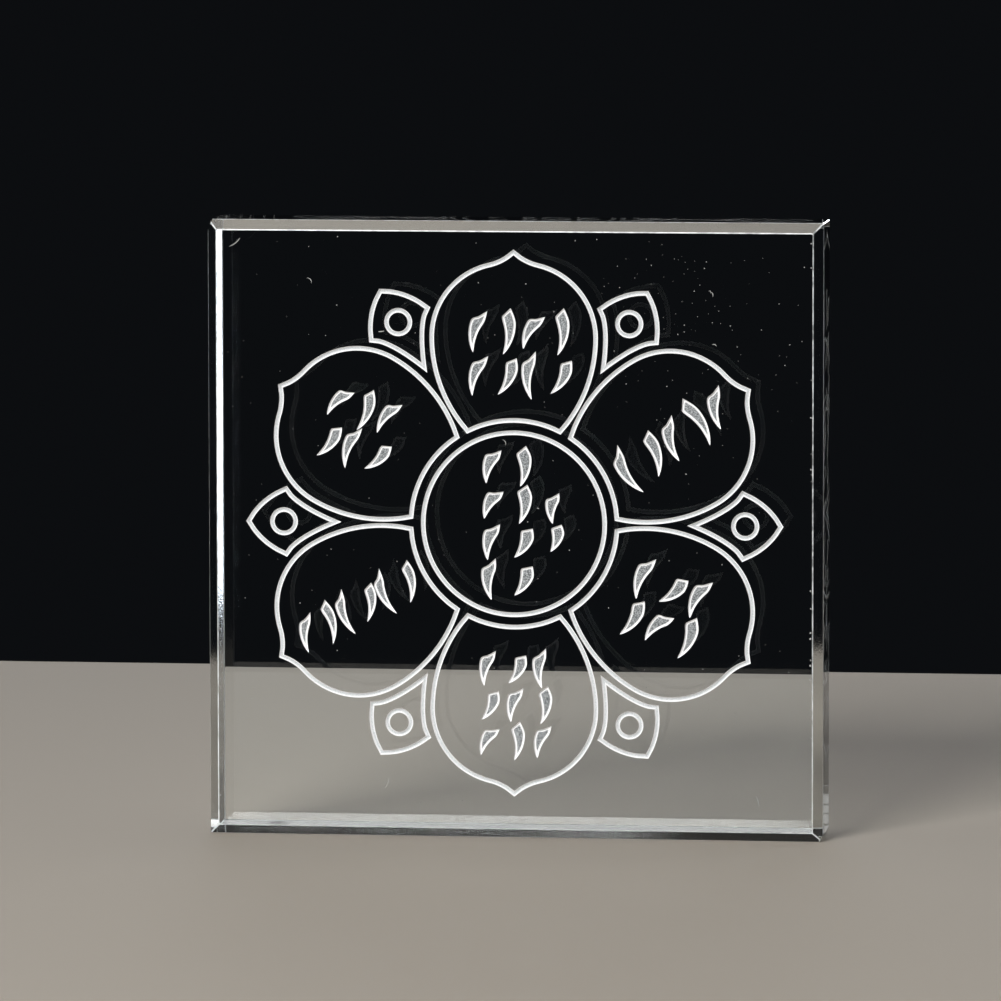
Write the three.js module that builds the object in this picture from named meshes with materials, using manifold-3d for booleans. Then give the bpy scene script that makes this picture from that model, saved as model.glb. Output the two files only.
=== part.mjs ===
// An engraved crystal paperweight: one square plate of clear crystal that stands on its edge.
// Millimetres, +Z up. The origin is on the underside, below the middle of the plate, and the
// engraved face looks along -Y.
import * as THREE from "three";
import { mergeVertices } from "three/addons/utils/BufferGeometryUtils.js";
import Module from "manifold-3d";

const wasm = await Module();
wasm.setup();

// The plate, with the left and right named as someone in front of the engraved face sees them.
const plate = {
  side: 80,
  thick: 10,
  frontChamfer: 1.25, // leg of the 45 degree chamfer round the engraved face
  backChamfer: 1, // and of the one round the back
  // Two corners are knocked off through the whole thickness: the top left one and, less, the
  // bottom right one. x and z say which corner it is.
  lostCorners: [
    { x: -1, z: 1, wide: 0.6, high: 1.5 },
    { x: 1, z: -1, wide: 0.45, high: 1 },
  ],
};

// The engraving, whose own plane has x to the right and y up from the middle of the pattern.
const engraving = {
  middleHeight: 40.95, // of the pattern's middle above the underside
  lineWide: 0.6,
  lineDeep: 0.3,
  strokeDeep: 0.25,
  petals: 6,
  longestStep: 1.8, // of the straight steps that stand for a curve
  centreRing: 11.8, // radius of the line round the middle
};

// One petal that points up: heights are from the pattern's middle, widths from the petal's axis.
const petal = {
  baseRadius: 13.4, // the base is an arc about the pattern's middle
  halfWidth: 10.64,
  widestAt: 24.1,
  lowerRadius: 18.15, // side arc below the widest place
  upperRadius: 9.57, // shoulder arc above it
  tipRadius: 7.3, // hollow arc that draws the shoulder out into the tip
  tipAt: 35.1,
};

// One small leaf that points up, between two petals, and the ring in it.
const leaf = {
  innerTip: 23.24,
  innerBend: [2.24, 28.66],
  sideCorner: [4.24, 29.7],
  outerBend: [2.87, 33.03],
  outerTip: 34.6,
  ringAt: 30,
  ringRadius: 1.53,
  ringSteps: 16,
};

// Each group of strokes fills a box about (x, y) with rows of slanted dashes. The box is turned
// anticlockwise, in radians.
const strokeGroups = [
  { x: 0.6, y: 21.8, wide: 14, high: 11.4, rows: 2, perRow: 4, turn: 0 },
  { x: 20.8, y: 11, wide: 17.5, high: 6.4, rows: 1, perRow: 5, turn: 0.62 },
  { x: 19.5, y: -10.9, wide: 11.4, high: 10.6, rows: 2, perRow: 3, turn: -0.35 },
  { x: 0.1, y: -23.7, wide: 10.6, high: 14.2, rows: 3, perRow: 3, turn: 0 },
  { x: -20.4, y: -11.3, wide: 17.6, high: 5.8, rows: 1, perRow: 6, turn: 0.48 },
  { x: -20.4, y: 11.9, wide: 10, high: 10.4, rows: 2, perRow: 3, turn: -0.3 },
  { x: -1, y: -0.1, wide: 7.7, high: 19.6, rows: 4, perRow: 2, turn: 0 },
  { x: 5.2, y: 0, wide: 3.6, high: 7.6, rows: 2, perRow: 1, turn: 0 },
];

// A dash has a blunt, slanting head and a pointed tail, and bows sideways.
const dash = {
  widthShare: 0.58, // of its cell's width
  lengthShare: 0.9, // of its cell's height
  lengthSwing: 0.1,
  lean: -0.25, // radians from upright
  leanSwing: 0.25,
  bowShare: 0.12, // of its length
  headShare: 0.5, // width of the head's end, of the widest place
  widestAt: 0.25, // along the dash, of its length
  headSlant: 0.1, // how far each edge starts ahead or behind, of the length
  thinning: 0.7, // power of the distance to the tail that the width follows
  stops: [0, 0.12, 0.28, 0.5, 0.78], // places along a dash that have a point on each edge
};

const up = new THREE.Vector2(0, 1);
const frontY = -plate.thick / 2;
const proud = 0.2; // a cutting tool stands this far out of the face that it cuts

// The angle between sides b and c of a triangle whose third side is a.
function angleOfTriangle(a, b, c) {
  return Math.acos((b * b + c * c - a * a) / (2 * b * c));
}

function arc(centre, radius, from, to, clockwise = false) {
  return new THREE.EllipseCurve(centre.x, centre.y, radius, radius, from, to, clockwise);
}

// Points along a chain of curves, without the last curve's end.
function pointsAlong(curves, step = engraving.longestStep) {
  return curves.flatMap((curve) => {
    const steps = Math.ceil(curve.getLength() / step);
    return curve.getSpacedPoints(steps).slice(0, -1);
  });
}

// The right half of an outline from its base to its tip, closed by the mirror image of it.
function mirrored(half, tip, base = []) {
  const left = half.map((point) => new THREE.Vector2(-point.x, point.y)).reverse();
  return [...half, tip, ...left, ...base];
}

function turned(outline, angle) {
  const middle = new THREE.Vector2();
  return outline.map((point) => point.clone().rotateAround(middle, angle));
}

// Three arcs that touch lead from the base corner to the tip: side, shoulder and hollow.
function petalOutline() {
  const side = new THREE.Vector2(petal.halfWidth - petal.lowerRadius, petal.widestAt);
  const shoulder = new THREE.Vector2(petal.halfWidth - petal.upperRadius, petal.widestAt);
  const tip = up.clone().multiplyScalar(petal.tipAt);

  const cornerAngle =
    side.angle() - angleOfTriangle(petal.lowerRadius, petal.baseRadius, side.length());
  const corner = new THREE.Vector2(petal.baseRadius, 0).rotateAround(new THREE.Vector2(), cornerAngle);

  const touching = petal.upperRadius + petal.tipRadius;
  const toTip = tip.clone().sub(shoulder);
  const shoulderEnd = toTip.angle() - angleOfTriangle(petal.tipRadius, touching, toTip.length());
  const hollow = new THREE.Vector2(touching, 0)
    .rotateAround(new THREE.Vector2(), shoulderEnd)
    .add(shoulder);

  const half = pointsAlong([
    arc(side, petal.lowerRadius, corner.clone().sub(side).angle(), 0),
    arc(shoulder, petal.upperRadius, 0, shoulderEnd),
    arc(hollow, petal.tipRadius, shoulderEnd + Math.PI, tip.clone().sub(hollow).angle(), true),
  ]);
  const base = arc(new THREE.Vector2(), petal.baseRadius, Math.PI - cornerAngle, cornerAngle, true);
  return mirrored(half, tip, pointsAlong([base]).slice(1));
}

// Two curves lead from the inner tip over the side corner to the outer tip.
function leafOutline() {
  const innerTip = up.clone().multiplyScalar(leaf.innerTip);
  const outerTip = up.clone().multiplyScalar(leaf.outerTip);
  const corner = new THREE.Vector2(...leaf.sideCorner);
  const half = pointsAlong([
    new THREE.QuadraticBezierCurve(innerTip, new THREE.Vector2(...leaf.innerBend), corner),
    new THREE.QuadraticBezierCurve(corner, new THREE.Vector2(...leaf.outerBend), outerTip),
  ]);
  return mirrored(half, outerTip).slice(0, -1);
}

function ringOutline(centre, radius, steps) {
  return new THREE.EllipseCurve(centre.x, centre.y, radius, radius).getPoints(steps).slice(0, -1);
}

// An outline moved outwards by a distance, or inwards where it is negative, with mitred corners.
function movedOut(outline, distance) {
  return outline.map((point, i) => {
    const before = outline.at(i - 1);
    const after = outline[(i + 1) % outline.length];
    const arriving = point.clone().sub(before).normalize();
    const leaving = after.clone().sub(point).normalize();
    const normal = new THREE.Vector2(arriving.y + leaving.y, -arriving.x - leaving.x).normalize();
    const mitre = distance / (normal.x * arriving.y - normal.y * arriving.x);
    return point.clone().addScaledVector(normal, mitre);
  });
}

// A dash's outline: edges on both sides of a centre line that bows as a parabola.
function dashOutline({ long, wide, lean, bow }) {
  const edge = (u, side) => {
    const growing = Math.sin((Math.PI / 2) * Math.min(1, u / dash.widestAt));
    const share = (dash.headShare + (1 - dash.headShare) * growing) * Math.pow(1 - u, dash.thinning);
    const across = 4 * bow * u * (1 - u) + (side * share * wide) / 2;
    const along = long * (0.5 - u + side * dash.headSlant * (1 - growing));
    return new THREE.Vector2(across, along).rotateAround(new THREE.Vector2(), lean);
  };
  const leftEdge = dash.stops.map((u) => edge(u, -1));
  const rightEdge = dash.stops.map((u) => edge(u, 1)).reverse();
  return [...leftEdge, edge(1, 0), ...rightEdge];
}

// The dashes of one group, one to a cell, each swung a little from the last by a sine wave.
function groupOutlines({ x, y, wide, high, rows, perRow, turn }, group) {
  const cellWide = wide / perRow;
  const cellHigh = high / rows;
  return Array.from({ length: rows * perRow }, (_, i) => {
    const column = i % perRow;
    const row = Math.floor(i / perRow);
    const swing = Math.sin(2.4 * i + group);
    const long = cellHigh * (dash.lengthShare + dash.lengthSwing * swing);
    const outline = dashOutline({
      long,
      wide: Math.min(cellWide, cellHigh) * dash.widthShare,
      lean: dash.lean + dash.leanSwing * swing,
      bow: dash.bowShare * long * (i % 2 ? 1 : -1),
    });
    const cell = new THREE.Vector2((column + 0.5) * cellWide - wide / 2, high / 2 - (row + 0.5) * cellHigh);
    const middle = new THREE.Vector2(x, y);
    return turned(outline.map((point) => point.add(cell)), turn).map((point) => point.add(middle));
  });
}

// A closed geometry as a solid that can be joined and cut.
function solid(geometry) {
  const bare = geometry.clone();
  bare.deleteAttribute("normal");
  bare.deleteAttribute("uv");
  const merged = mergeVertices(bare);
  return new wasm.Manifold(
    new wasm.Mesh({
      numProp: 3,
      vertProperties: merged.attributes.position.array,
      triVerts: new Uint32Array(merged.index.array),
    }),
  );
}

function geometryOf(body) {
  const mesh = body.getMesh();
  const geometry = new THREE.BufferGeometry();
  geometry.setAttribute("position", new THREE.BufferAttribute(mesh.vertProperties, 3));
  geometry.setIndex(new THREE.BufferAttribute(mesh.triVerts, 1));
  geometry.computeVertexNormals();
  return geometry;
}

// A cutting tool: a shape in the pattern's plane, reaching `deep` into the front face.
function engravingTool(outline, deep, hole) {
  const shape = new THREE.Shape(outline);
  if (hole) shape.holes.push(new THREE.Path(hole));
  const tool = new THREE.ExtrudeGeometry(shape, { depth: deep + proud, bevelEnabled: false });
  tool.rotateX(Math.PI / 2);
  tool.translate(0, frontY + deep, engraving.middleHeight);
  return solid(tool);
}

function lineTool(outline) {
  const half = engraving.lineWide / 2;
  return engravingTool(movedOut(outline, half), engraving.lineDeep, movedOut(outline, -half));
}

function patternTools() {
  const origin = new THREE.Vector2();
  const ringSteps = Math.round((2 * Math.PI * engraving.centreRing) / engraving.longestStep);
  const outlines = [ringOutline(origin, engraving.centreRing, ringSteps)];
  const petalShape = petalOutline();
  const leafShape = leafOutline();
  const leafRing = ringOutline(up.clone().multiplyScalar(leaf.ringAt), leaf.ringRadius, leaf.ringSteps);
  for (let i = 0; i < engraving.petals; i++) {
    const angle = (2 * Math.PI * i) / engraving.petals;
    const between = angle + Math.PI / engraving.petals;
    outlines.push(turned(petalShape, angle), turned(leafShape, between), turned(leafRing, between));
  }
  return outlines.map(lineTool);
}

function strokeTools() {
  return strokeGroups
    .flatMap(groupOutlines)
    .map((outline) => engravingTool(outline, engraving.strokeDeep));
}

// A prism with the section given, running along the plate's top edge from end to end.
function edgeTool(section) {
  const length = plate.side * 1.5;
  const shape = new THREE.Shape(section.map(([y, z]) => new THREE.Vector2(y, z)));
  const tool = new THREE.ExtrudeGeometry(shape, { depth: length, bevelEnabled: false });
  tool.translate(0, 0, -length / 2);
  tool.applyMatrix4(
    new THREE.Matrix4().makeBasis(
      new THREE.Vector3(0, 1, 0),
      new THREE.Vector3(0, 0, 1),
      new THREE.Vector3(1, 0, 0),
    ),
  );
  return tool;
}

// The same tool at all four edges of the plate's outline.
function onAllEdges(tool) {
  return [0, 1, 2, 3].map((quarter) => solid(tool.clone().rotateY((quarter * Math.PI) / 2)));
}

function edgeTools() {
  const half = plate.side / 2;
  const backY = plate.thick / 2;
  const frontEnd = half - plate.frontChamfer;
  const front = edgeTool([
    [frontY - proud, frontEnd - proud],
    [frontY + plate.frontChamfer + proud, half + proud],
    [frontY - proud, half + proud],
  ]);
  const backEnd = half - plate.backChamfer;
  const back = edgeTool([
    [backY + proud, backEnd - proud],
    [backY + proud, half + proud],
    [backY - plate.backChamfer - proud, half + proud],
  ]);
  return [...onAllEdges(front), ...onAllEdges(back)];
}

// A wedge through the thickness that cuts across one corner of the plate's outline.
function lostCornerTool({ x, z, wide, high }) {
  const half = plate.side / 2;
  const slope = high / wide;
  const wedge = new THREE.Shape([
    new THREE.Vector2(x * (half + proud), z * (half - high - proud * slope)),
    new THREE.Vector2(x * (half - wide - proud / slope), z * (half + proud)),
    new THREE.Vector2(x * (half + proud), z * (half + proud)),
  ]);
  const depth = plate.thick + 2 * proud;
  const tool = new THREE.ExtrudeGeometry(wedge, { depth, bevelEnabled: false });
  tool.rotateX(Math.PI / 2);
  tool.translate(0, depth / 2, 0);
  return solid(tool);
}

function plateBody() {
  const block = solid(new THREE.BoxGeometry(plate.side, plate.thick, plate.side));
  const outlineTools = [...edgeTools(), ...plate.lostCorners.map(lostCornerTool)];
  const cut = outlineTools.reduce((body, tool) => body.subtract(tool), block);
  const raised = cut.translate([0, 0, plate.side / 2]);
  return [...patternTools(), ...strokeTools()].reduce((body, tool) => body.subtract(tool), raised);
}

const crystal = new THREE.MeshStandardMaterial({
  name: "polished clear crystal",
  color: 0xe8efec,
  roughness: 0.03,
  metalness: 0,
  transparent: true,
  opacity: 0.35,
});

const crystalPlate = new THREE.Mesh(geometryOf(plateBody()), crystal);
crystalPlate.name = "crystal_plate";

const paperweight = new THREE.Group();
paperweight.name = "paperweight";
paperweight.add(crystalPlate);

export default paperweight;
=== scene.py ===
import math
import bpy
import numpy as np
from mathutils import Matrix, Vector
from mathutils.geometry import delaunay_2d_cdt


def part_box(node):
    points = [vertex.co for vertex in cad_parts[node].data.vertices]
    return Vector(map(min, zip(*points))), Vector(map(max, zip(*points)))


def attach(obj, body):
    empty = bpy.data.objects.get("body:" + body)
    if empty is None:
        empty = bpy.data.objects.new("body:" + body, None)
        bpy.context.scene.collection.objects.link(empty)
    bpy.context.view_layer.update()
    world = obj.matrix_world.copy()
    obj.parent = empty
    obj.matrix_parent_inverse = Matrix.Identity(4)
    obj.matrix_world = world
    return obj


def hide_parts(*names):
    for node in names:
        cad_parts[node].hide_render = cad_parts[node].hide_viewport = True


# An engraved crystal paperweight standing on its edge. Sizes are in millimetres and become metres
# when a mesh is made. Points of the engraved pattern are complex numbers, x to the right and the
# imaginary part upwards from the pattern's middle, as someone in front of the plate sees them.

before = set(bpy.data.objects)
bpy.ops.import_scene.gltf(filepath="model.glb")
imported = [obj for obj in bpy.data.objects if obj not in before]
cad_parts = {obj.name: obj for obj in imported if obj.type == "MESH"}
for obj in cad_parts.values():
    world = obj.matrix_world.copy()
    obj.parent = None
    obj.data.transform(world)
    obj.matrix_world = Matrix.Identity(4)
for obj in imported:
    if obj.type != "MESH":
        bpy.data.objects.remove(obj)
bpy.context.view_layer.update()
mm = 0.001
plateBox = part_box("crystal_plate")
print("frame loaded, plate", [round((b - a) / mm, 2) for a, b in zip(*plateBox)], "mm")


def linear(hexColour):
    # an sRGB hex colour as linear red, green, blue and full alpha
    channels = np.array([int(hexColour[i:i + 2], 16) / 255 for i in (1, 3, 5)])
    light = np.where(channels <= 0.04045, channels / 12.92, ((channels + 0.055) / 1.055) ** 2.4)
    return (*light.tolist(), 1.0)


# Camera, at the photograph's viewing angle

view = {
    "place": (152.5, -1175.2, 160.0),  # right of the plate, in front of it and above it
    "yaw": 7.508,  # degrees to the left of the plate's own axis
    "pitch": 5.615,  # degrees down
    "roll": -0.101,
    "focal": 9194 / 1001,  # focal length over the picture's width
}


def makeCamera(v):
    camera = bpy.data.objects.new("camera", bpy.data.cameras.new("camera"))
    bpy.context.scene.collection.objects.link(camera)
    turn = Matrix.Rotation(math.radians(v["yaw"]), 4, "Z")
    turn = turn @ Matrix.Rotation(math.radians(90 - v["pitch"]), 4, "X")
    turn = turn @ Matrix.Rotation(math.radians(v["roll"]), 4, "Z")
    camera.matrix_world = Matrix.Translation(Vector(v["place"]) * mm) @ turn
    camera.data.sensor_width = 36
    camera.data.lens = 36 * v["focal"]
    camera.data.clip_start = 0.1
    camera.data.clip_end = 20
    bpy.context.scene.camera = camera


makeCamera(view)
print("camera placed")


# Materials


def addNode(tree, kind, inputs=None, **settings):
    # a node with its settings; each input is a value or another node's output to link from
    node = tree.nodes.new(kind)
    for name, value in settings.items():
        setattr(node, name, value)
    for name, value in (inputs or {}).items():
        if isinstance(value, bpy.types.NodeSocket):
            tree.links.new(value, node.inputs[name])
        else:
            node.inputs[name].default_value = value
    return node


def newMaterial(name):
    material = bpy.data.materials.new(name)
    material.use_nodes = True
    material.node_tree.nodes.clear()
    return material, material.node_tree


def polishedCrystal():
    # optical crystal, cut and polished flat: clear, a hard bright gloss and no colour to speak of
    material, tree = newMaterial("polished_optical_crystal")
    glass = addNode(tree, "ShaderNodeBsdfPrincipled", {
        "Base Color": linear("#FBFEFD"), "Transmission Weight": 1.0, "IOR": 1.52, "Roughness": 0.0})
    addNode(tree, "ShaderNodeOutputMaterial", {"Surface": glass.outputs["BSDF"]})
    return material


def cutChamfer():
    # the same crystal where the chamfer was ground and only lightly polished: a fine grain that
    # breaks up what shows through it, so it reads grey
    material, tree = newMaterial("lightly_polished_chamfer")
    place = addNode(tree, "ShaderNodeTexCoord").outputs["Object"]
    grain = addNode(tree, "ShaderNodeTexNoise", {
        "Vector": place, "Scale": 1 / (0.25 * mm), "Detail": 3.0, "Roughness": 0.6})
    bump = addNode(tree, "ShaderNodeBump", {
        "Height": grain.outputs["Fac"], "Strength": 0.15, "Distance": 0.02 * mm})
    glass = addNode(tree, "ShaderNodeBsdfPrincipled", {
        "Base Color": linear("#F4F7F5"), "Transmission Weight": 1.0, "IOR": 1.52, "Roughness": 0.06,
        "Normal": bump.outputs["Normal"]})
    addNode(tree, "ShaderNodeOutputMaterial", {"Surface": glass.outputs["BSDF"]})
    return material


def groundArris():
    # the narrow arris along each edge, taken off with a fine stone: frosted white, with gaps
    # where it stayed clear and tiny bright chips
    material, tree = newMaterial("stone_ground_arris")
    place = addNode(tree, "ShaderNodeTexCoord").outputs["Object"]
    chips = addNode(tree, "ShaderNodeTexNoise", {
        "Vector": place, "Scale": 1 / (0.8 * mm), "Detail": 4.0, "Roughness": 0.7})
    frost = addNode(tree, "ShaderNodeMapRange", {
        "Value": chips.outputs["Fac"], "From Min": 0.42, "From Max": 0.6, "To Min": 0.0, "To Max": 0.75})
    surface = addNode(tree, "ShaderNodeBsdfPrincipled", {
        "Base Color": linear("#F5F8F8"), "IOR": 1.52, "Roughness": 0.3,
        "Transmission Weight": frost.outputs["Result"]})
    addNode(tree, "ShaderNodeOutputMaterial", {"Surface": surface.outputs["BSDF"]})
    return material


def engravedLine(name, grainSize, brightRim, rimColour, fillColour, darkColour, darkShare):
    # crystal broken up by fine grit: white and matt, brightest along the rim of the cut, with
    # grains that catch the light one by one
    material, tree = newMaterial(name)
    place = addNode(tree, "ShaderNodeTexCoord").outputs["Object"]
    edge = addNode(tree, "ShaderNodeAttribute", attribute_name="fromEdge").outputs["Fac"]
    grain = addNode(tree, "ShaderNodeTexNoise", {
        "Vector": place, "Scale": 1 / (grainSize * mm), "Detail": 2.0, "Roughness": 0.6})
    speckle = addNode(tree, "ShaderNodeMapRange", {
        "Value": grain.outputs["Fac"], "From Min": darkShare - 0.1, "From Max": darkShare + 0.1})
    fill = addNode(tree, "ShaderNodeMix", {
        "Factor": speckle.outputs["Result"], 6: linear(darkColour), 7: linear(fillColour)},
        data_type="RGBA")
    rim = addNode(tree, "ShaderNodeMapRange", {
        "Value": edge, "From Min": brightRim - 0.05, "From Max": brightRim + 0.05})
    colour = addNode(tree, "ShaderNodeMix", {
        "Factor": rim.outputs["Result"], 6: linear(rimColour), 7: fill.outputs[2]}, data_type="RGBA")
    bump = addNode(tree, "ShaderNodeBump", {
        "Height": grain.outputs["Fac"], "Strength": 0.5, "Distance": 0.03 * mm})
    surface = addNode(tree, "ShaderNodeBsdfPrincipled", {
        "Base Color": colour.outputs[2], "IOR": 1.52, "Roughness": 0.7, "Normal": bump.outputs["Normal"]})
    addNode(tree, "ShaderNodeOutputMaterial", {"Surface": surface.outputs["BSDF"]})
    return material


def settledDust():
    # lint and fine dust on the polished face: dull grey-white specks
    material, tree = newMaterial("dust_and_lint")
    place = addNode(tree, "ShaderNodeTexCoord").outputs["Object"]
    patches = addNode(tree, "ShaderNodeTexNoise", {"Vector": place, "Scale": 1 / (2 * mm), "Detail": 2.0})
    colour = addNode(tree, "ShaderNodeMix", {
        "Factor": patches.outputs["Fac"], 6: linear("#5A5A58"), 7: linear("#D8D8D4")}, data_type="RGBA")
    surface = addNode(tree, "ShaderNodeBsdfPrincipled", {
        "Base Color": colour.outputs[2], "Roughness": 0.9})
    addNode(tree, "ShaderNodeOutputMaterial", {"Surface": surface.outputs["BSDF"]})
    return material


# The plate

plate = {
    "frontChamfer": 1.25,
    "backChamfer": 1.0,
    "arris": 0.14,  # across, on every edge
    # left or right, bottom or top, then how wide and high the knocked-off corner is
    "lostCorners": {(-1, 1): (0.6, 1.5), (1, -1): (0.45, 1.0)},
}
plate["side"] = (plateBox[1].x - plateBox[0].x) / mm
plate["front"] = plateBox[0].y / mm
plate["back"] = plateBox[1].y / mm

# The engraving, with the names and values of the solid's own source

pattern = {
    "middleHeight": 40.95,
    "lineWide": 0.6,
    "lineDeep": 0.3,
    "strokeDeep": 0.25,
    "petals": 6,
    "step": 0.4,  # between points along a line
    "cornerRoom": 0.85,  # no other point lies nearer to a sharp corner
    "centreRing": 11.8,
}
petal = {
    "baseRadius": 13.4,
    "halfWidth": 10.64,
    "widestAt": 24.1,
    "lowerRadius": 18.15,
    "upperRadius": 9.57,
    "tipRadius": 7.3,
    "tipAt": 35.1,
}
leaf = {
    "innerTip": 23.24j,
    "innerBend": 2.24 + 28.66j,
    "sideCorner": 4.24 + 29.7j,
    "outerBend": 2.87 + 33.03j,
    "outerTip": 34.6j,
    "ringAt": 30j,
    "ringRadius": 1.53,
}

# Each group of strokes: middle, width, height, rows, strokes in a row, turn in radians

strokeGroups = [
    (0.6 + 21.8j, 14, 11.4, 2, 4, 0),
    (20.8 + 11j, 17.5, 6.4, 1, 5, 0.62),
    (19.5 - 10.9j, 11.4, 10.6, 2, 3, -0.35),
    (0.1 - 23.7j, 10.6, 14.2, 3, 3, 0),
    (-20.4 - 11.3j, 17.6, 5.8, 1, 6, 0.48),
    (-20.4 + 11.9j, 10, 10.4, 2, 3, -0.3),
    (-1 - 0.1j, 7.7, 19.6, 4, 2, 0),
    (5.2 + 0j, 3.6, 7.6, 2, 1, 0),
]
dash = {
    "widthShare": 0.58,
    "lengthShare": 0.9,
    "lengthSwing": 0.1,
    "lean": -0.25,
    "leanSwing": 0.25,
    "bowShare": 0.12,
    "headShare": 0.5,
    "widestAt": 0.25,
    "headSlant": 0.1,
    "thinning": 0.7,
    "along": 40,  # steps of its grid
    "across": 12,
    "rimWide": 0.3,  # bright cut round the stroke, before the stippled fill
    "fillRise": 0.35,  # how far the fill stands above the rim's floor, of the depth
    "stipple": 0.03,  # depth of the stippling
}


def turnTo(angle):
    return np.exp(1j * angle)


def arc(centre, radius, start, end):
    # centre + radius at an angle that goes evenly from start to end, without the end point
    count = max(3, math.ceil(abs(end - start) * radius / pattern["step"]))
    return centre + radius * turnTo(np.linspace(start, end, count, endpoint=False))


def bend(a, b, c):
    # the quadratic curve (1-t)^2 a + 2t(1-t) b + t^2 c, without the end point
    count = math.ceil(abs(c - a) / pattern["step"])
    t = np.linspace(0, 1, count, endpoint=False)
    return (1 - t) ** 2 * a + 2 * t * (1 - t) * b + t ** 2 * c


def angleOfTriangle(a, b, c):
    # the angle between sides b and c of a triangle whose third side is a
    return math.acos((b * b + c * c - a * a) / (2 * b * c))


def mirrored(half, tip):
    # a right half up to the tip, then its mirror image back down, anticlockwise
    return np.concatenate([half, [tip], -half[::-1].conj()])


def petalOutline(p):
    # side, shoulder and hollow arcs that touch one another, and a base arc about the middle
    side = p["halfWidth"] - p["lowerRadius"] + 1j * p["widestAt"]
    shoulder = p["halfWidth"] - p["upperRadius"] + 1j * p["widestAt"]
    tip = 1j * p["tipAt"]
    cornerAngle = np.angle(side) - angleOfTriangle(p["lowerRadius"], p["baseRadius"], abs(side))
    corner = p["baseRadius"] * turnTo(cornerAngle)
    touching = p["upperRadius"] + p["tipRadius"]
    toTip = tip - shoulder
    shoulderEnd = np.angle(toTip) - angleOfTriangle(p["tipRadius"], touching, abs(toTip))
    hollow = shoulder + touching * turnTo(shoulderEnd)
    hollowEnd = np.angle(tip - hollow) % (2 * math.pi)
    half = np.concatenate([
        arc(side, p["lowerRadius"], np.angle(corner - side), 0),
        arc(shoulder, p["upperRadius"], 0, shoulderEnd),
        arc(hollow, p["tipRadius"], shoulderEnd + math.pi, hollowEnd)])
    base = arc(0, p["baseRadius"], math.pi - cornerAngle, cornerAngle)[1:]
    return np.concatenate([mirrored(half, tip), base])


def leafOutline(p):
    half = np.concatenate([
        bend(p["innerTip"], p["innerBend"], p["sideCorner"]),
        bend(p["sideCorner"], p["outerBend"], p["outerTip"])])
    return mirrored(half, p["outerTip"])[:-1]


def clearOfCorners(outline):
    # without the points so near a sharp corner that the line's inner edge would fold over there
    turned = np.angle((np.roll(outline, -1) - outline) / (outline - np.roll(outline, 1)))
    corners = outline[abs(turned) > 0.4]
    gap = abs(outline[:, None] - corners).min(1)
    return outline[(gap == 0) | (gap > pattern["cornerRoom"])]


def patternOutlines():
    outlines = [arc(0, pattern["centreRing"], 0, 2 * math.pi)]
    petalShape = clearOfCorners(petalOutline(petal))
    leafShape = clearOfCorners(leafOutline(leaf))
    ringShape = arc(leaf["ringAt"], leaf["ringRadius"], 0, 2 * math.pi)
    turns = 2 * math.pi * np.arange(pattern["petals"]) / pattern["petals"]
    for angle in turns:
        between = angle + math.pi / pattern["petals"]
        outlines += [petalShape * turnTo(angle), leafShape * turnTo(between), ringShape * turnTo(between)]
    return outlines


def movedOut(outline, distance):
    # every point moved along the mitre of its two edges, so that each edge moves by the distance
    arriving = outline - np.roll(outline, 1)
    arriving = arriving / abs(arriving)
    leaving = np.roll(arriving, -1)
    normal = -1j * (arriving + leaving)
    normal = normal / abs(normal)
    mitre = distance / (normal * (-1j * arriving).conj()).real
    return outline + normal * mitre


def smooth(low, high, x):
    t = np.clip((x - low) / (high - low), 0, 1)
    return t * t * (3 - 2 * t)


def gridQuads(rows, columns, closed):
    # corner numbers of the quads of a grid of rows by columns, closed round its columns or not
    i, j = np.meshgrid(np.arange(rows - 1), np.arange(columns if closed else columns - 1), indexing="ij")
    k = (j + 1) % columns
    return np.stack([i * columns + j, i * columns + k, (i + 1) * columns + k, (i + 1) * columns + j], -1).reshape(-1, 4)


def lineGrid(outline):
    # a trough carried along the outline: across it t runs from -1 to 1 and the depth is
    # deep * (1 - |t|^3)
    t = np.array([-1, -0.85, -0.6, -0.3, 0, 0.3, 0.6, 0.85, 1])
    half = pattern["lineWide"] / 2
    points = np.array([movedOut(outline, half * -each) for each in t])
    depth = np.repeat((pattern["lineDeep"] * (1 - abs(t) ** 3))[:, None], outline.size, 1)
    fromEdge = np.repeat((half * (1 - abs(t)))[:, None], outline.size, 1)
    return points, depth, fromEdge


def dashPoints(long, wide, lean, bow, u, side):
    # an edge at side -1 to 1 of a centre line that bows as a parabola; the width grows from the
    # head as a sine and thins to the tail as a power of the distance left
    growing = np.sin(math.pi / 2 * np.minimum(1, u / dash["widestAt"]))
    share = (dash["headShare"] + (1 - dash["headShare"]) * growing) * (1 - u) ** dash["thinning"]
    across = 4 * bow * u * (1 - u) + side * share * wide / 2
    along = long * (0.5 - u + side * dash["headSlant"] * (1 - growing))
    return (across + 1j * along) * turnTo(lean)


def groupDashes(group, middle, wide, high, rows, perRow, turn):
    # one dash to a cell, each swung a little from the last by a sine wave
    cell = complex(wide / perRow, high / rows)
    grids = []
    u, side = np.meshgrid(np.linspace(0, 1, dash["along"] + 1), np.linspace(-1, 1, dash["across"] + 1))
    for i in range(rows * perRow):
        row, column = divmod(i, perRow)
        swing = math.sin(2.4 * i + group)
        long = cell.imag * (dash["lengthShare"] + dash["lengthSwing"] * swing)
        bow = dash["bowShare"] * long * (1 if i % 2 else -1)
        points = dashPoints(long, min(cell.real, cell.imag) * dash["widthShare"],
                            dash["lean"] + dash["leanSwing"] * swing, bow, u, side)
        place = complex((column + 0.5) * cell.real - wide / 2, high / 2 - (row + 0.5) * cell.imag)
        grids.append(middle + (points + place) * turnTo(turn))
    return grids


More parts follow.
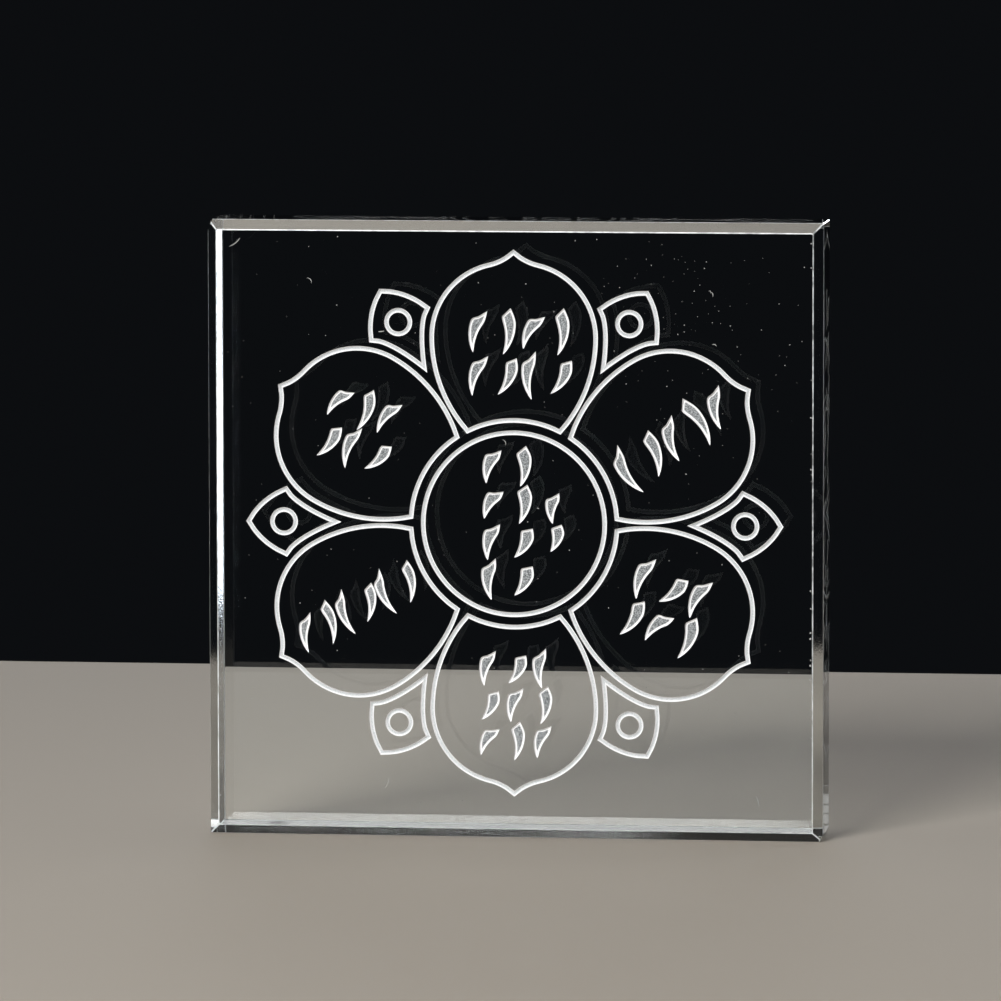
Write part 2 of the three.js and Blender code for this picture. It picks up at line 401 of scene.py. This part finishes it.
def boundary(grid):
    # round a dash's grid: down its left edge, up its right edge and back along its head
    return np.concatenate([grid[0], grid[-1, -2::-1], grid[-2:0:-1, 0]])


def distanceTo(points, loop):
    # the shortest distance from each point to the closed loop's edges
    start, step = loop, np.roll(loop, -1) - loop
    offset = points.reshape(-1, 1) - start
    t = np.clip((offset * step.conj()).real / np.maximum(abs(step) ** 2, 1e-12), 0, 1)
    return abs(offset - t * step).min(1).reshape(points.shape)


def dashDepth(grid, random):
    # a steep wall, a clean rim cut and then a fill that stands a little higher and is stippled
    fromEdge = distanceTo(grid, boundary(grid))
    wall = smooth(0, 0.1, fromEdge)
    fill = smooth(dash["rimWide"] - 0.04, dash["rimWide"] + 0.08, fromEdge)
    pits = dash["stipple"] * random.uniform(-1, 1, grid.shape)
    depth = pattern["strokeDeep"] * wall * (1 - dash["fillRise"] * fill) + pits * fill
    return depth, fromEdge


# What lies on the polished face and along its edges

marks = {
    "looseSpecks": 260,
    "denseSpecks": 150,
    "denseMiddle": 20 + 28j,  # where the dust lies thickest
    "denseSpread": 9,
    "speckSize": (0.04, 0.11),  # radius
    "edgeNicks": 46,
    "nickSize": (0.06, 0.2),
    # hairs and scratches: start, end, sideways bow, width
    "hairs": [
        (-37 + 35.6j, -35.6 + 36.7j, -0.15, 0.14),
        (-26.9 + 31.6j, -26.3 + 30.9j, 0.25, 0.1),
        (-17.6 + 24.7j, -16.8 + 24.8j, 0.0, 0.12),
        (25.6 + 30.2j, 25.8 + 29.6j, 0.1, 0.12),
        (25.7 + 23.4j, 26.3 + 23.2j, 0.15, 0.1),
        (31.4 - 34.9j, 31.8 - 36.3j, 0.1, 0.11),
        (-1.5 + 10.9j, -1.1 + 10.1j, 0.25, 0.1),
        (3 + 2.1j, 3.3 + 2j, 0.0, 0.14),
        (-16.5 - 33.2j, -16.9 - 34.6j, 0.2, 0.09),
        (25.2 + 30.3j, 25.5 + 30j, 0.2, 0.09),
    ],
}


def speckLoops(m, taken, random):
    # small uneven hexagons, strewn evenly and about one dense place, clear of every cut
    half = plate["side"] / 2 - plate["frontChamfer"]
    heights = np.array([-pattern["middleHeight"] + plate["frontChamfer"], 0])
    low = complex(-half + 0.6, heights[0] + 0.6)
    high = complex(half - 0.6, plate["side"] - pattern["middleHeight"] - plate["frontChamfer"] - 0.6)
    even = random.uniform(low.real, high.real, m["looseSpecks"]) + 1j * random.uniform(low.imag, high.imag, m["looseSpecks"])
    dense = m["denseMiddle"] + m["denseSpread"] * (random.normal(size=m["denseSpecks"]) + 1j * random.normal(size=m["denseSpecks"]))
    nickHeights = random.uniform(low.imag, high.imag, m["edgeNicks"])
    small = m["speckSize"][0] + np.diff(m["speckSize"])[0] * random.uniform(0, 1, even.size + dense.size) ** 3
    large = random.uniform(*m["nickSize"], m["edgeNicks"])
    nicks = random.choice([-1, 1, 1], m["edgeNicks"]) * (half - 0.12 - large) + 1j * nickHeights
    centres = np.concatenate([even, dense, nicks])
    sizes = np.concatenate([small, large])
    inside = (abs(centres.real) < half - 0.15) & (centres.imag > low.imag - 0.4) & (centres.imag < high.imag + 0.4)
    centres, sizes = centres[inside], sizes[inside]
    corners = turnTo(np.arange(6) * math.pi / 3)
    wobble = random.uniform(0.5, 1, (centres.size, 6))
    loops = centres[:, None] + sizes[:, None] * wobble * corners
    clear = abs(centres[:, None] - taken).min(1) > sizes + 0.45
    kept = []
    for loop, size, isClear in zip(loops, sizes, clear):
        if isClear and all(abs(loop.mean() - other.mean()) > 0.5 for other in kept):
            kept.append(loop)
    return kept


def hairLoops(m):
    # a ribbon along a bowed line, pointed at both ends
    t = np.linspace(0, 1, 9)
    loops = []
    for start, end, bow, wide in m["hairs"]:
        along = end - start
        centre = start + along * t + 4 * bow * t * (1 - t) * 1j * along / abs(along)
        side = 1j * along / abs(along) * wide / 2 * np.sqrt(np.maximum(0.05, np.sin(math.pi * t)))
        loops.append(np.concatenate([centre - side, (centre + side)[::-1]]))
    return loops


def ringOfPlate(inset):
    # the plate's outline moved inwards, with every corner cut: by the arris, or where the corner
    # is knocked off by its own wider cut as far as that reaches in
    half = plate["side"] / 2
    points = []
    for x, z in ((1, 1), (-1, 1), (-1, -1), (1, -1)):
        wide, high = plate["lostCorners"].get((x, z), (plate["arris"], plate["arris"]))
        alongTop = inset + max(plate["arris"], wide * (1 - inset / high) - inset)
        alongSide = inset + max(plate["arris"], high * (1 - inset / wide) - inset)
        onTop = complex(x * (half - alongTop), z * (half - inset))
        onSide = complex(x * (half - inset), z * (half - alongSide))
        points += [onSide, onTop] if x * z > 0 else [onTop, onSide]
    return np.array(points)


def plateProfile():
    # (inset, distance back) from the front face's edge round to the back face's, with the arris
    # points on both sides of each corner and a ring where each lost corner's cut runs out
    front, back, a = plate["frontChamfer"], plate["backChamfer"], plate["arris"]
    thick = plate["back"] - plate["front"]
    runsOut = [wide * high / (wide + high) for wide, high in plate["lostCorners"].values()]
    a45 = a / math.sqrt(2)
    rings = [(front + a45, 0, "front"), (front - a45 / 2, a45 / 2, "arris")]
    rings += [(inset, front - inset, "chamfer") for inset in sorted(runsOut, reverse=True)]
    rings += [(a45 / 2, front - a45 / 2, "chamfer"), (0, front + a45, "arris")]
    rings += [(0, thick - back - a45, "side"), (a45 / 2, thick - back + a45 / 2, "arris")]
    rings += [(inset, thick - back + inset, "backChamfer") for inset in sorted(runsOut)]
    rings += [(back - a45 / 2, thick - a45 / 2, "backChamfer"), (back + a45, thick, "arris")]
    return rings


slots = ["crystal", "chamfer", "arris", "line", "fill", "dust"]


class Builder:
    # gathers vertices, faces and their slots, then makes one mesh of them
    def __init__(self):
        self.points, self.faces, self.slots, self.fromEdge, self.count = [], [], [], [], 0

    def add(self, x, back, z, faces, slot, fromEdge=None):
        xyz = np.stack([np.ravel(x), np.ravel(back) + plate["front"], np.ravel(z)], 1)
        self.points.append(xyz)
        self.fromEdge.append(np.zeros(len(xyz)) if fromEdge is None else np.ravel(fromEdge))
        self.faces += [[corner + self.count for corner in face] for face in faces]
        self.slots += [slots.index(slot)] * len(faces)
        self.count += len(xyz)

    def addPattern(self, points, depth, faces, slot, fromEdge=None):
        # points of the pattern's plane, set back from the front face by their depth
        self.add(points.real, np.broadcast_to(depth, points.shape), points.imag + pattern["middleHeight"],
                 faces, slot, fromEdge)


def flatFront(builder, cuts, specks):
    # the front face between the cuts: a constrained triangulation of its outline, the cuts and the
    # specks, without the triangles that lie in a cut
    outer = ringOfPlate(plateProfile()[0][0]) + 1j * (plate["side"] / 2 - pattern["middleHeight"])
    loops = [outer] + cuts["loops"] + specks
    points = np.concatenate(loops)
    starts = np.cumsum([0] + [loop.size for loop in loops])
    faces = [list(range(starts[0], starts[1]))]
    for number, (outlineSize, kind) in enumerate(zip([loop.size for loop in loops[1:]], cuts["kinds"] + ["speck"] * len(specks))):
        first = starts[number + 1]
        if kind == "band":  # outer and inner edge of a line, as quads round it
            half = outlineSize // 2
            around = np.arange(half)
            after = (around + 1) % half
            quads = np.stack([first + around, first + after, first + half + after, first + half + around], 1)
            faces += quads.tolist()
        else:
            faces.append(list(range(first, first + outlineSize)))
    firstSpeck = len(faces) - len(specks)
    vertices, _, triangles, _, _, sources = delaunay_2d_cdt(
        [Vector((p.real, p.imag)) for p in points], [], faces, 1, 1e-6)
    owner = np.array([max(source) if source else 0 for source in sources])
    triangles = np.array(triangles)
    flat = np.array([complex(*v) for v in vertices])
    builder.addPattern(flat, 0.0, triangles[owner == 0].tolist(), "crystal")
    builder.addPattern(flat, 0.0, triangles[owner >= firstSpeck].tolist(), "dust")


def plateRings(builder):
    rings = plateProfile()
    lift = plate["side"] / 2
    for (insetA, backA, _), (insetB, backB, kind) in zip(rings, rings[1:]):
        loop = np.array([ringOfPlate(insetA), ringOfPlate(insetB)]) + 1j * lift
        back = np.repeat([[backA], [backB]], loop.shape[1], 1)
        quads = gridQuads(2, loop.shape[1], True)
        slot = {"arris": "arris", "side": "crystal", "chamfer": "chamfer", "backChamfer": "chamfer"}[kind]
        corner = np.arange(loop.shape[1]) % 2 == 0  # every other strip is a cut corner
        builder.add(loop.real, back, loop.imag, quads[~corner].tolist(), slot)
        builder.add(loop.real, back, loop.imag, quads[corner].tolist(), "arris" if slot == "chamfer" else slot)
    inset, back, _ = rings[-1]
    last = ringOfPlate(inset) + 1j * lift
    builder.add(last.real, np.full(last.size, back), last.imag, [list(range(last.size))], "crystal")


def makePlate():
    random = np.random.default_rng(7)
    builder = Builder()
    outlines = patternOutlines()
    half = pattern["lineWide"] / 2
    bands = [np.concatenate([movedOut(outline, half), movedOut(outline, -half)]) for outline in outlines]
    dashes = [grid for number, group in enumerate(strokeGroups) for grid in groupDashes(number, *group)]
    cuts = {"loops": bands + [boundary(grid) for grid in dashes],
            "kinds": ["band"] * len(bands) + ["dash"] * len(dashes)}
    specks = hairLoops(marks)
    taken = np.concatenate(cuts["loops"] + specks)
    specks += speckLoops(marks, taken, random)
    flatFront(builder, cuts, specks)
    print("front face laid out:", len(outlines), "lines,", len(dashes), "strokes,", len(specks), "specks")
    for outline in outlines:
        points, depth, fromEdge = lineGrid(outline)
        builder.addPattern(points, depth, gridQuads(*points.shape, True).tolist(), "line", fromEdge)
    for grid in dashes:
        depth, fromEdge = dashDepth(grid, random)
        builder.addPattern(grid, depth, gridQuads(*grid.shape, False).tolist(), "fill", fromEdge)
    plateRings(builder)
    return builder


def meshObject(name, builder, materials):
    mesh = bpy.data.meshes.new(name)
    mesh.from_pydata(np.concatenate(builder.points) * mm, [], builder.faces)
    attribute = mesh.attributes.new("fromEdge", "FLOAT", "POINT")
    attribute.data.foreach_set("value", np.concatenate(builder.fromEdge))
    mesh.polygons.foreach_set("material_index", builder.slots)
    for material in materials:
        mesh.materials.append(material)
    import bmesh
    shape = bmesh.new()
    shape.from_mesh(mesh)
    bmesh.ops.remove_doubles(shape, verts=shape.verts, dist=2e-7)
    bmesh.ops.dissolve_degenerate(shape, edges=shape.edges, dist=1e-8)
    bmesh.ops.recalc_face_normals(shape, faces=shape.faces)
    open_ = [e for e in shape.edges if len(e.link_faces) != 2]
    print(name, len(shape.faces), "faces,", len(open_), "open edges, volume",
          round(shape.calc_volume() * 1e6, 3), "cm3")
    shape.to_mesh(mesh)
    shape.free()
    smoothSlots = [slots.index("line"), slots.index("fill")]
    index = np.zeros(len(mesh.polygons), int)
    mesh.polygons.foreach_get("material_index", index)
    mesh.set_sharp_from_angle(angle=math.radians(35))
    mesh.polygons.foreach_set("use_smooth", np.isin(index, smoothSlots))
    made = bpy.data.objects.new(name, mesh)
    bpy.context.scene.collection.objects.link(made)
    return made


materials = [
    polishedCrystal(), cutChamfer(), groundArris(),
    engravedLine("grit_engraved_line", 0.06, 0.16, "#FFFFFF", "#DCDFE0", "#B5B9BB", 0.5),
    engravedLine("stippled_engraving", 0.13, 0.3, "#FFFFFF", "#C6CACC", "#4E5254", 0.52),
    settledDust(),
]
plateObject = meshObject("engraved_plate", makePlate(), materials)
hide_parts("crystal_plate")
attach(plateObject, "root")
print("plate made")


# Stage: a plain pale table top, soft lights and a dark room

table = {"wide": 420, "front": -190, "back": 190, "thick": 18, "round": 6}


def makeTable(t):
    mesh = bpy.data.meshes.new("table_top")
    w = t["wide"] / 2
    corners = [(x, y, z) for z in (-t["thick"], 0) for x, y in
               ((-w, t["front"]), (w, t["front"]), (w, t["back"]), (-w, t["back"]))]
    faces = [(3, 2, 1, 0), (4, 5, 6, 7), (0, 1, 5, 4), (1, 2, 6, 5), (2, 3, 7, 6), (3, 0, 4, 7)]
    mesh.from_pydata([Vector(c) * mm for c in corners], [], faces)
    made = bpy.data.objects.new("table_top", mesh)
    bpy.context.scene.collection.objects.link(made)
    bevel = made.modifiers.new("rounded edge", "BEVEL")
    bevel.width = t["round"] * mm
    bevel.segments = 4
    material, tree = newMaterial("pale_table")
    surface = addNode(tree, "ShaderNodeBsdfPrincipled", {
        "Base Color": linear("#ABA296"), "Roughness": 0.7})
    addNode(tree, "ShaderNodeOutputMaterial", {"Surface": surface.outputs["BSDF"]})
    mesh.materials.append(material)


lights = {
    # place, size, power in watts, colour
    "front": ((-330, -980, 620), (500, 400), 15, "#FFFFFF"),
    "above": ((0, 60, 650), (420, 420), 0.8, "#FFFFFF"),
    "behindAbove": ((-130, 1100, 240), (700, 110), 1.5, "#F6FAFF"),
    "behindRight": ((560, 960, 60), (160, 300), 1.2, "#EAF2FF"),
}


def makeLight(name, place, size, power, colour):
    lamp = bpy.data.lights.new(name, "AREA")
    lamp.shape = "RECTANGLE"
    lamp.size, lamp.size_y = size[0] * mm, size[1] * mm
    lamp.energy = power
    lamp.color = linear(colour)[:3]
    made = bpy.data.objects.new(name, lamp)
    bpy.context.scene.collection.objects.link(made)
    towards = Vector((0, 0, plate["side"] / 2)) - Vector(place)
    made.matrix_world = Matrix.Translation(Vector(place) * mm) @ towards.to_track_quat("-Z", "Y").to_matrix().to_4x4()
    made.visible_camera = False


def makeRoom(colour, strength):
    world = bpy.data.worlds.new("dark_room")
    bpy.context.scene.world = world
    world.use_nodes = True
    world.node_tree.nodes.clear()
    light = addNode(world.node_tree, "ShaderNodeBackground", {"Color": linear(colour), "Strength": strength})
    addNode(world.node_tree, "ShaderNodeOutputWorld", {"Surface": light.outputs["Background"]})


makeTable(table)
for name, settings in lights.items():
    makeLight(name, *settings)
makeRoom("#15171A", 0.5)
bpy.context.scene.view_settings.view_transform = "Standard"
print("stage set")
